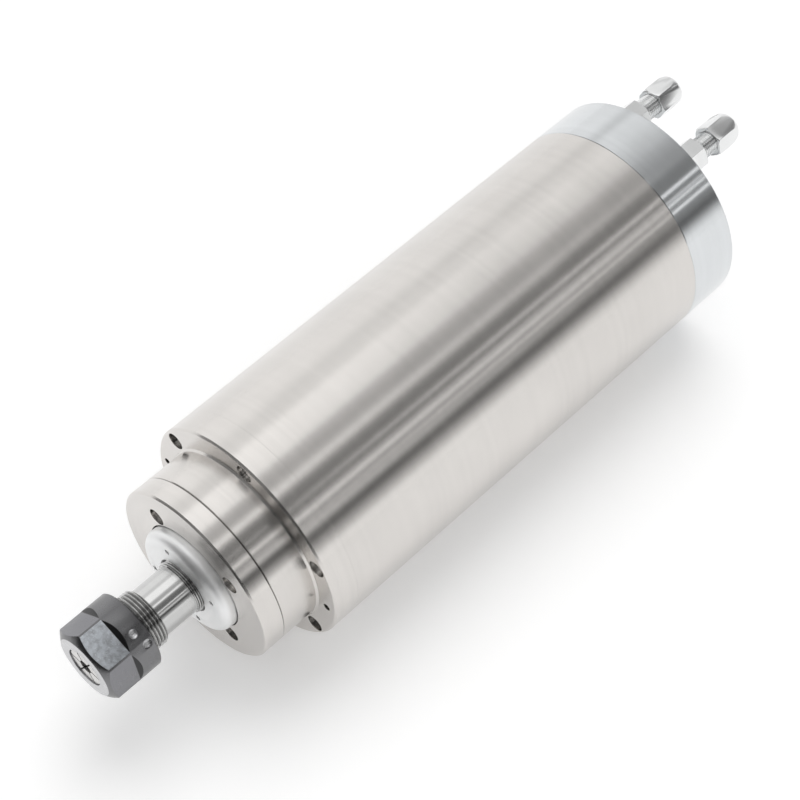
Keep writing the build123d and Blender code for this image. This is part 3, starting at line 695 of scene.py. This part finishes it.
class SPINDLE_OT_shaft(Operator):
    """Polished shaft with its nose thread, the thread in front of the dust cap, and the satin cap"""

    bl_idname = "spindle.shaft"
    bl_label = "Shaft"

    def execute(self, context):
        sizes = settings()
        steps = sizes.round_steps
        mesh = bmesh.new()
        lathe(mesh, [
            (0.0, BORE_TIP), (BORE_RADIUS, BORE_END), (BORE_RADIUS, TAPER_BACK),
            (self.taper_at(TAPER_BACK), TAPER_BACK), (self.taper_at(SHAFT_FRONT), SHAFT_FRONT),
            (SHAFT_THREAD_MINOR, SHAFT_FRONT),
        ], steps)
        pitch = sizes.thread_pitch / MM
        helix(mesh, SHAFT_FRONT, NECK_FRONT, SHAFT_THREAD_MAJOR, SHAFT_THREAD_MINOR, pitch, steps)
        lathe(mesh, [
            (SHAFT_THREAD_MINOR, NECK_FRONT), (NECK_RADIUS + NECK_CHAMFER, NECK_FRONT),
            (NECK_RADIUS, NECK_FRONT + NECK_CHAMFER), (NECK_RADIUS, NECK_BACK), (RING_MINOR, NECK_BACK),
        ], steps)
        helix(mesh, NECK_BACK, RING_BACK, RING_MAJOR, RING_MINOR, RING_PITCH, steps)
        lathe(mesh, self.back_outline(), steps)
        threads = (
            (SHAFT_FRONT, NECK_FRONT, SHAFT_THREAD_MINOR, SHAFT_THREAD_MAJOR),
            (NECK_BACK, RING_BACK, RING_MINOR, RING_MAJOR),
        )
        # Painted shade darkens the roots of both threads
        steel = turned_metal(
            "polished_shaft_steel", sizes.shaft_colour, roughness=0.14, anisotropy=0.75, grooves=0.06,
            threads=threads, root_shade=0.4)
        shaft = finish_mesh(mesh, "threaded_shaft")
        coat(shaft, steel)
        rides(shaft, "rotor", "shaft_steel", "spindle_shaft")
        cap = turned_metal(
            "satin_cap_metal", sizes.cap_colour, roughness=0.5, anisotropy=0.2, grooves=0.2)
        dress(["dust_cap"], cap)
        return {"FINISHED"}

    def taper_at(self, place):
        """The radius of the collet's taper at a place."""
        return TAPER_RADIUS + TAPER_GAP - (place - TAPER_FRONT) * math.tan(TAPER_ANGLE)

    def back_outline(self):
        """The line of the shaft from the ring's thread to its rear end."""
        outline = [(RING_MINOR, RING_BACK)]
        start = RING_BACK + STEP_CHAMFER
        for radius, end in SHAFT_STEPS:
            outline += [(radius, start), (radius, end)]
            start = end
        return outline + [(SHAFT_BACK_RADIUS, SHAFT_BACK), (0.0, SHAFT_BACK)]


class SPINDLE_OT_collet_nut(Operator):
    """Dark hexagonal nut with worn flats, broken edges and two balance holes, and its collet"""

    bl_idname = "spindle.collet_nut"
    bl_label = "Collet nut"

    def execute(self, context):
        sizes = settings()
        steep = math.tan(CONE_ANGLE)
        cone_start = TAPER_RADIUS - (TAPER_FRONT - GROOVE_BACK) * steep + CONE_GAP
        cone_end = cone_start + (NUT_FLOOR - GROOVE_BACK) * steep
        mesh = bmesh.new()
        lathe(mesh, [
            (NUT_OPENING, NUT_FRONT), (NUT_FACE_RADIUS, NUT_FRONT), (NUT_RADIUS, NUT_FACE_END),
            (NUT_RADIUS, NUT_BACK - NUT_BACK_CHAMFER), (NUT_RADIUS - NUT_BACK_CHAMFER, NUT_BACK),
            (NUT_BORE + NUT_BORE_CHAMFER, NUT_BACK), (NUT_BORE, NUT_BACK - NUT_BORE_CHAMFER),
            (NUT_BORE, NUT_FLOOR), (cone_end, NUT_FLOOR), (cone_start, GROOVE_BACK),
            (COLLET_RING, GROOVE_BACK - COLLET_RING_CHAMFER),
            (COLLET_RING, GROOVE_FRONT + COLLET_RING_CHAMFER), (NUT_OPENING, GROOVE_FRONT),
        ], sizes.round_steps, closed=True)
        nut = finish_mesh(mesh, "hexagonal_collet_nut")
        cut_away(nut, hexagon_cutter(
            "hexagon_cutter", HEX_FLATS, NUT_FRONT - NUT_CUTTER_LIP, HEX_BACK, HEX_CORNER,
            NUT_CUTTER_RADIUS, splay=SHOULDER_SPLAY))
        for angle, place in BALANCE_HOLES:
            cut_away(nut, self.drill(angle, place))
        break_edges(nut, sizes.nut_edge)
        coat(nut, self.oxide(sizes))
        rides(nut, "collet_nut", "black_oxide", "collet_nut")
        satin = turned_metal("collet_steel_satin", (0.6, 0.59, 0.58), roughness=0.25, anisotropy=0.5)
        dress(["collet"], satin)
        return {"FINISHED"}

    def drill(self, angle, place):
        """A drill with a conical point, aimed at the axis."""
        mesh = bmesh.new()
        rings = []
        for radius, height in DRILL:
            rings.append([
                mesh.verts.new((height * MM, radius * math.cos(turn) * MM, radius * math.sin(turn) * MM))
                for turn in ring_angles(DRILL_STEPS)
            ])
        for low, high in zip(rings, rings[1:]):
            join_rings(mesh, low, high)
        drill = finish_mesh(mesh, "balance_drill")
        turn = Matrix.Rotation(-math.radians(angle), 4, "Y")
        drill.data.transform(Matrix.Translation((0, y_place(place), 0)) @ turn)
        return drill

    def oxide(self, sizes):
        """Dark oxide, greyer on the flats, worn bare on one flat, with bright holes and front face, painted
        shade on one side, and painted shade on the shoulders behind the flats.
        """
        material, tree, surface, place = blank_material("worn_nut_oxide")
        radius, y, around = round_axis(tree, place)
        # Two turns more keep the angle positive
        turned = maths(tree, "SUBTRACT", around, HEX_CORNER - 2 * FULL_TURN)
        in_sixth = maths(tree, "FLOORED_MODULO", turned, SIXTH_TURN)
        within = maths(tree, "SUBTRACT", in_sixth, SIXTH_TURN / 2)
        depth = maths(tree, "MULTIPLY", radius, maths(tree, "COSINE", within))
        on_hex = maths(tree, "LESS_THAN", y, y_place(HEX_BACK - EDGE_MARGIN))
        across = HEX_FLATS / 2
        level = between(tree, depth, (across - FLAT_HALF) * MM, (across + FLAT_HALF) * MM)
        flat = maths(tree, "MULTIPLY", on_hex, level)
        worn = maths(tree, "MULTIPLY", flat, between(tree, around, HEX_CORNER, HEX_CORNER + SIXTH_TURN))
        patches = noise(tree, place, PATCH_SCALE, detail=5.0, rough=0.62)
        specks = noise(tree, place, SPECK_SCALE)
        fine = noise(tree, place, OXIDE_SCALE, detail=3.0, rough=0.6)

        # Painted shade: the nut is darker on the side round one angle
        facing = maths(tree, "COSINE", maths(tree, "SUBTRACT", around, SIDE_SHADE_MIDDLE))
        painted_side_shade = remap(tree, facing, *SIDE_SHADE_RANGE, 0.0, 1.0)
        base = mix_colour(tree, painted_side_shade, opaque(sizes.nut_colour), opaque(sizes.nut_colour, SIDE_SHADE_LEVEL))
        base = mix_colour(tree, flat, base, opaque(sizes.flat_colour))
        # Painted shade on the sloping shoulders behind the flats
        beyond_flat = maths(tree, "GREATER_THAN", depth, (across + SHOULDER_STEP) * MM)
        inside_rim = maths(tree, "LESS_THAN", radius, (NUT_RADIUS - EDGE_MARGIN) * MM)
        shoulder = maths(tree, "MULTIPLY", beyond_flat, inside_rim)
        shoulder = maths(tree, "MULTIPLY", shoulder, along(tree, y, *SHOULDER_PLACES))
        base = mix_colour(tree, shoulder, base, opaque(sizes.nut_colour, SHOULDER_SHADE))
        wear = maths(tree, "MULTIPLY", worn, remap(tree, patches, *WEAR_RANGE, *WEAR_LEVELS))
        base = mix_colour(tree, wear, base, opaque(sizes.worn_colour))
        bright = maths(tree, "MULTIPLY", worn, remap(tree, specks, *SPECK_RANGE, 0.0, SPECK_STRENGTH))
        base = mix_colour(tree, bright, base, SPECK_COLOUR)
        face = maths(tree, "LESS_THAN", y, y_place(NUT_FRONT + FACE_DEPTH))
        low, high = DRILLED_RADII
        drilled = maths(
            tree, "MULTIPLY", between(tree, radius, low * MM, high * MM), along(tree, y, *DRILLED_PLACES))
        base = mix_colour(tree, strongest(tree, [face, drilled]), base, BARE_COLOUR)

        rough = remap(tree, weigh(tree, patches, fine, 0.5), *GRAIN_RANGE, *OXIDE_ROUGHNESS)
        rough = maths(tree, "ADD", rough, maths(tree, "MULTIPLY", worn, WORN_ROUGHNESS))
        finish_surface(tree, surface, base, rough, fine, OXIDE_GRAIN)
        surface.inputs["Metallic"].default_value = 1.0
        return material


class SPINDLE_OT_fittings(Operator):
    """Bright water fittings with threads, hose nuts, ferrules and sealing washers"""

    bl_idname = "spindle.fittings"
    bl_label = "Water fittings"

    def execute(self, context):
        sizes = settings()
        plating = plain_finish(
            "hose_nut_nickel", sizes.nickel_colour, roughness=0.13, metallic=1.0, mottle=0.03, bump=0.04)
        for side, (angle, base_corner, nut_corner) in FITTINGS.items():
            centre = FITTING_CIRCLE * math.cos(angle), FITTING_CIRCLE * math.sin(angle)
            body = self.fitting(side, centre, base_corner, sizes)
            rides(body, "housing", "nickel_plate", side + "_fitting_body")
            nut = self.hose_nut(side, centre, nut_corner, sizes)
            coat(nut, plating)
            rides(nut, side + "_hose_nut", "nickel_plate", side + "_hose_nut")
        brass = plain_finish("ferrule_brass", (0.78, 0.6, 0.33), roughness=0.3, metallic=1.0)
        dress(ending("_ferrule"), brass)
        dress(["sealing_washers"], plain_finish("washer_white", (0.85, 0.85, 0.83), roughness=0.5))
        return {"FINISHED"}

    def fitting(self, side, centre, corner, sizes):
        """Hexagonal base, threaded neck and hose stub with a bore."""
        steps = FITTING_STEPS
        thread_start = FITTING_HEX_END + FITTING_THREAD_GAP
        point = hex_point(FITTING_FLATS)
        inward, edge = FITTING_HEX_CHAMFER
        undercut, undercut_length = FITTING_UNDERCUT
        mesh = bmesh.new()
        lathe(mesh, [
            (FITTING_BORE, FITTING_START), (FITTING_SPIGOT, FITTING_START), (FITTING_SPIGOT, FITTING_SEAT),
            (point - inward, FITTING_SEAT), (point, FITTING_SEAT + edge), (point, FITTING_HEX_END - edge),
            (point - inward, FITTING_HEX_END), (undercut, FITTING_HEX_END),
            (undercut, FITTING_HEX_END + undercut_length), (FITTING_THREAD_MINOR, thread_start),
        ], steps, centre)
        helix(
            mesh, thread_start, FITTING_NECK_END, FITTING_THREAD_MAJOR, FITTING_THREAD_MINOR,
            sizes.fitting_pitch / MM, steps, centre)
        lathe(mesh, [
            (FITTING_THREAD_MINOR, FITTING_NECK_END), (HOSE_STUB_RADIUS, FITTING_NECK_END), *HOSE_STUB,
            (FITTING_BORE, HOSE_STUB[-1][1]), (FITTING_BORE, FITTING_START),
        ], steps, centre)
        body = finish_mesh(mesh, side + "_water_fitting")
        cut_away(body, hexagon_cutter(
            "fitting_cutter", FITTING_FLATS, FITTING_SEAT - FITTING_CUTTER_LIP,
            FITTING_HEX_END + FITTING_CUTTER_LIP, corner, FITTING_CUTTER_RADIUS, centre))
        smooth_by_angle(body)
        thread = (thread_start, FITTING_NECK_END, FITTING_THREAD_MINOR, FITTING_THREAD_MAJOR)
        # Painted shade darkens the roots of the neck's thread
        coat(body, turned_metal(
            side + "_fitting_nickel", sizes.nickel_colour, roughness=0.16, anisotropy=0.3,
            centre=(centre[0] * MM, centre[1] * MM), grooves=0.05, threads=(thread,), root_shade=0.9))
        return body

    def hose_nut(self, side, centre, corner, sizes):
        """Domed hexagonal nut with broken edges."""
        point = hex_point(FITTING_FLATS)
        inward, edge = HOSE_NUT_CHAMFER
        cone_start, cone_end = HOSE_NUT_CONE
        profile = [
            (HOSE_NUT_OPENING, HOSE_NUT_END), (HOSE_NUT_OPENING, cone_end), (HOSE_NUT_BORE, cone_start),
            (HOSE_NUT_BORE, HOSE_NUT_START), (point - inward, HOSE_NUT_START),
            (point, HOSE_NUT_START + edge), (point, HOSE_NUT_HEX_END),
        ]
        dome = HOSE_NUT_END - HOSE_NUT_HEX_END
        for step in range(1, DOME_STEPS + 1):
            turn = math.pi / 2 * step / DOME_STEPS
            radius = HOSE_NUT_RIM + (point - HOSE_NUT_RIM) * math.cos(turn)
            profile.append((radius, HOSE_NUT_HEX_END + dome * math.sin(turn)))
        mesh = bmesh.new()
        lathe(mesh, profile, FITTING_STEPS, centre, closed=True)
        nut = finish_mesh(mesh, side + "_domed_hose_nut")
        cut_away(nut, hexagon_cutter(
            "hose_nut_cutter", FITTING_FLATS, HOSE_NUT_START - HOSE_CUTTER_LIP, HOSE_NUT_END + HOSE_CUTTER_LIP,
            corner, FITTING_CUTTER_RADIUS, centre))
        break_edges(nut, sizes.nut_edge * HOSE_NUT_EDGE_SHARE)
        return nut


class SPINDLE_OT_connector(Operator):
    """Nickel connector shell, black insulator and gold pins"""

    bl_idname = "spindle.connector"
    bl_label = "Connector"

    def execute(self, context):
        nickel = plain_finish("connector_nickel", settings().nickel_colour, roughness=0.28, metallic=1.0)
        black = plain_finish("insulator_black", (0.03, 0.03, 0.032), roughness=0.45)
        gold = plain_finish("pin_gold", (0.9, 0.66, 0.3), roughness=0.2, metallic=1.0)
        dress(["connector_shell"], nickel)
        dress(["connector_insulator"], black)
        dress(["connector_pins"], gold)
        return {"FINISHED"}


class SPINDLE_OT_inner_pieces(Operator):
    """Bearings, motor and cooling sleeve inside the housing"""

    bl_idname = "spindle.inner_pieces"
    bl_label = "Inner pieces"

    def execute(self, context):
        steel = turned_metal("bearing_ring_steel", (0.62, 0.62, 0.63), roughness=0.18, anisotropy=0.4)
        dress(ending("_inner_ring", "_outer_ring", "_spacer"), steel)
        balls = plain_finish("ball_steel", (0.7, 0.7, 0.71), roughness=0.08, metallic=1.0)
        dress(ending("_balls"), balls)
        resin = plain_finish("cage_resin", (0.32, 0.2, 0.08), roughness=0.5)
        dress(ending("_cage"), resin)
        sheets = turned_metal(
            "core_laminations", (0.3, 0.31, 0.33), roughness=0.4, anisotropy=0.3, grooves=0.6)
        dress(["stator_core", "rotor_core"], sheets)
        copper = plain_finish(
            "winding_copper", (0.72, 0.31, 0.16), roughness=0.3, metallic=1.0, scale=400.0)
        dress(["stator_winding"], copper)
        cast = plain_finish("end_ring_aluminium", (0.75, 0.75, 0.76), roughness=0.4, metallic=1.0)
        dress(["rotor_end_rings"], cast)
        sleeve = turned_metal("sleeve_aluminium", (0.7, 0.7, 0.71), roughness=0.35, anisotropy=0.4)
        dress(["cooling_sleeve", "rear_bearing_housing"], sleeve)
        spring = plain_finish("spring_steel_dark", (0.3, 0.3, 0.31), roughness=0.35, metallic=1.0)
        dress(["rear_lock_nut", "preload_disc_springs"], spring)
        rubber = plain_finish("seal_rubber_black", (0.02, 0.02, 0.02), roughness=0.6)
        dress(["sleeve_o_rings"], rubber)
        return {"FINISHED"}


class SPINDLE_OT_studio(Operator):
    """Pale floor, dark screen, soft lamps, white background and the camera"""

    bl_idname = "spindle.studio"
    bl_label = "Studio"

    def execute(self, context):
        self.floor()
        self.screen()
        self.world(context.scene)
        self.lamps(context.scene)
        self.camera(context.scene)
        context.scene.view_settings.view_transform = "Standard"
        return {"FINISHED"}

    def floor(self):
        """A wide pale floor that shows white to the camera and in reflections, and keeps the shadow."""
        mesh = bmesh.new()
        bmesh.ops.create_grid(mesh, x_segments=8, y_segments=8, size=FLOOR_REACH)
        bmesh.ops.translate(mesh, verts=mesh.verts, vec=(0, 0, FLOOR_HEIGHT))
        floor = finish_mesh(mesh, "studio_floor")
        material, tree, surface, place = blank_material("pale_floor")
        cloud = noise(tree, place, FLOOR_SCALE)
        colour = settings().floor_colour
        tone = mix_colour(tree, cloud, opaque(colour, 1 - FLOOR_MOTTLE), opaque(colour, 1 + FLOOR_MOTTLE))
        tree.links.new(tone, surface.inputs["Base Color"])
        surface.inputs["Roughness"].default_value = 0.9
        surface.inputs["Specular IOR Level"].default_value = 0.1
        paths = add_node(tree, "ShaderNodeLightPath").outputs
        seen = strongest(tree, [paths["Is Camera Ray"], paths["Is Glossy Ray"], paths["Is Transmission Ray"]])
        strength = maths(tree, "MULTIPLY", seen, FLOOR_GLOW)
        glow = add_node(tree, "ShaderNodeEmission", {"Color": WHITE, "Strength": strength})
        both = add_node(tree, "ShaderNodeAddShader", {0: surface.outputs[0], 1: glow.outputs[0]})
        tree.links.new(both.outputs[0], tree.nodes["Material Output"].inputs["Surface"])
        coat(floor, material)

    def screen(self):
        """A low dark screen in front of the nose, seen only in the metal."""
        mesh = bmesh.new()
        wide, low = SCREEN_HALF_WIDTH, FLOOR_HEIGHT + SCREEN_LIFT
        corners = ((-wide, low), (wide, low), (wide, SCREEN_TOP), (-wide, SCREEN_TOP))
        mesh.faces.new([mesh.verts.new((x, SCREEN_PLACE, z)) for x, z in corners])
        screen = finish_mesh(mesh, "dark_screen")
        material, _, surface, _ = blank_material("screen_cloth")
        surface.inputs["Base Color"].default_value = SCREEN_BLACK
        surface.inputs["Roughness"].default_value = 1.0
        coat(screen, material)
        screen.visible_camera = screen.visible_diffuse = screen.visible_shadow = False

    def world(self, scene):
        """A pale room with darker screens that give the steel its dark bands."""
        world = bpy.data.worlds.new("studio_world")
        scene.world = world
        world.use_nodes = True
        tree = world.node_tree
        direction = add_node(tree, "ShaderNodeTexCoord").outputs["Generated"]
        x, y, z = add_node(tree, "ShaderNodeSeparateXYZ", {0: direction}).outputs
        around = maths(tree, "MULTIPLY", maths(tree, "ARCTAN2", z, x), 1 / math.pi)
        front = self.bands(tree, around, FRONT_STUDIO)
        rear = self.bands(tree, around, REAR_STUDIO)
        room = mix_colour(tree, remap(tree, y, *REAR_TURN, 0.0, 1.0), front, rear)
        room = mix_colour(tree, remap(tree, y, *NOSE_TURN, 0.0, NOSE_SHADE), room, DARK_END)
        paths = add_node(tree, "ShaderNodeLightPath").outputs
        seen = strongest(tree, [paths["Is Camera Ray"], paths["Is Transmission Ray"]])
        soft = mix_colour(tree, paths["Is Glossy Ray"], ROOM_GREY, room)
        tree.links.new(mix_colour(tree, seen, soft, WHITE), tree.nodes["Background"].inputs["Color"])

    def bands(self, tree, around, stops):
        """Brightness by direction from a list of stops."""
        ramp = add_node(tree, "ShaderNodeValToRGB", {0: around})
        points = ramp.color_ramp.elements
        for index, (spot, level) in enumerate(stops):
            point = points[index] if index < 2 else points.new(spot)
            point.position = spot
            point.color = (level, level, level, 1)
        return ramp.outputs[0]

    def lamps(self, scene):
        """Two wide soft lamps, far enough to light the floor evenly."""
        for name, place, power in LAMPS:
            data = bpy.data.lights.new(name, "SUN")
            data.angle, data.energy = LAMP_SPREAD, power
            lamp = self.aimed(scene, name, data, place, -Vector(place))
            lamp.visible_glossy = False

    def camera(self, scene):
        """The photograph's viewing angle."""
        data = bpy.data.cameras.new("photo_camera")
        data.lens, data.sensor_width = FOCAL_LENGTH, SENSOR_WIDTH
        data.clip_start, data.clip_end = CAMERA_CLIP
        flat = math.cos(CAMERA_ELEVATION)
        back = Vector((
            math.sin(CAMERA_AZIMUTH) * flat, -math.cos(CAMERA_AZIMUTH) * flat, math.sin(CAMERA_ELEVATION)))
        scene.camera = self.aimed(scene, "photo_camera", data, CAMERA_PLACE, -back)

    def aimed(self, scene, name, data, place, towards):
        """A lamp or camera at a place, turned to look one way."""
        made = bpy.data.objects.new(name, data)
        made.location = place
        made.rotation_mode = "QUATERNION"
        made.rotation_quaternion = towards.to_track_quat("-Z", "Y")
        scene.collection.objects.link(made)
        return made


class SPINDLE_PT_panel(Panel):
    """Sidebar list of the finish's settings and steps"""

    bl_idname = "SPINDLE_PT_panel"
    bl_label = "Motor Spindle"
    bl_space_type = "VIEW_3D"
    bl_region_type = "UI"
    bl_category = "Spindle"

    def draw(self, context):
        for name in SpindleFinish.__annotations__:
            self.layout.prop(context.scene.spindle_finish, name)
        for step in STEPS:
            self.layout.operator(step.bl_idname)


STEPS = (
    SPINDLE_OT_housing, SPINDLE_OT_screws, SPINDLE_OT_shaft, SPINDLE_OT_collet_nut, SPINDLE_OT_fittings,
    SPINDLE_OT_connector, SPINDLE_OT_inner_pieces, SPINDLE_OT_studio,
)
CLASSES = (SpindleFinish, *STEPS, SPINDLE_PT_panel)


def register():
    """Add the settings, steps and panel to Blender."""
    for item in CLASSES:
        bpy.utils.register_class(item)
    bpy.types.Scene.spindle_finish = PointerProperty(type=SpindleFinish)


def unregister():
    """Take them out again."""
    del bpy.types.Scene.spindle_finish
    for item in reversed(CLASSES):
        bpy.utils.unregister_class(item)


def main():
    """Dress the spindle and light it."""
    register()
    for step in STEPS:
        category, name = step.bl_idname.split(".")
        getattr(getattr(bpy.ops, category), name)()


if __name__ == "__main__":
    main()
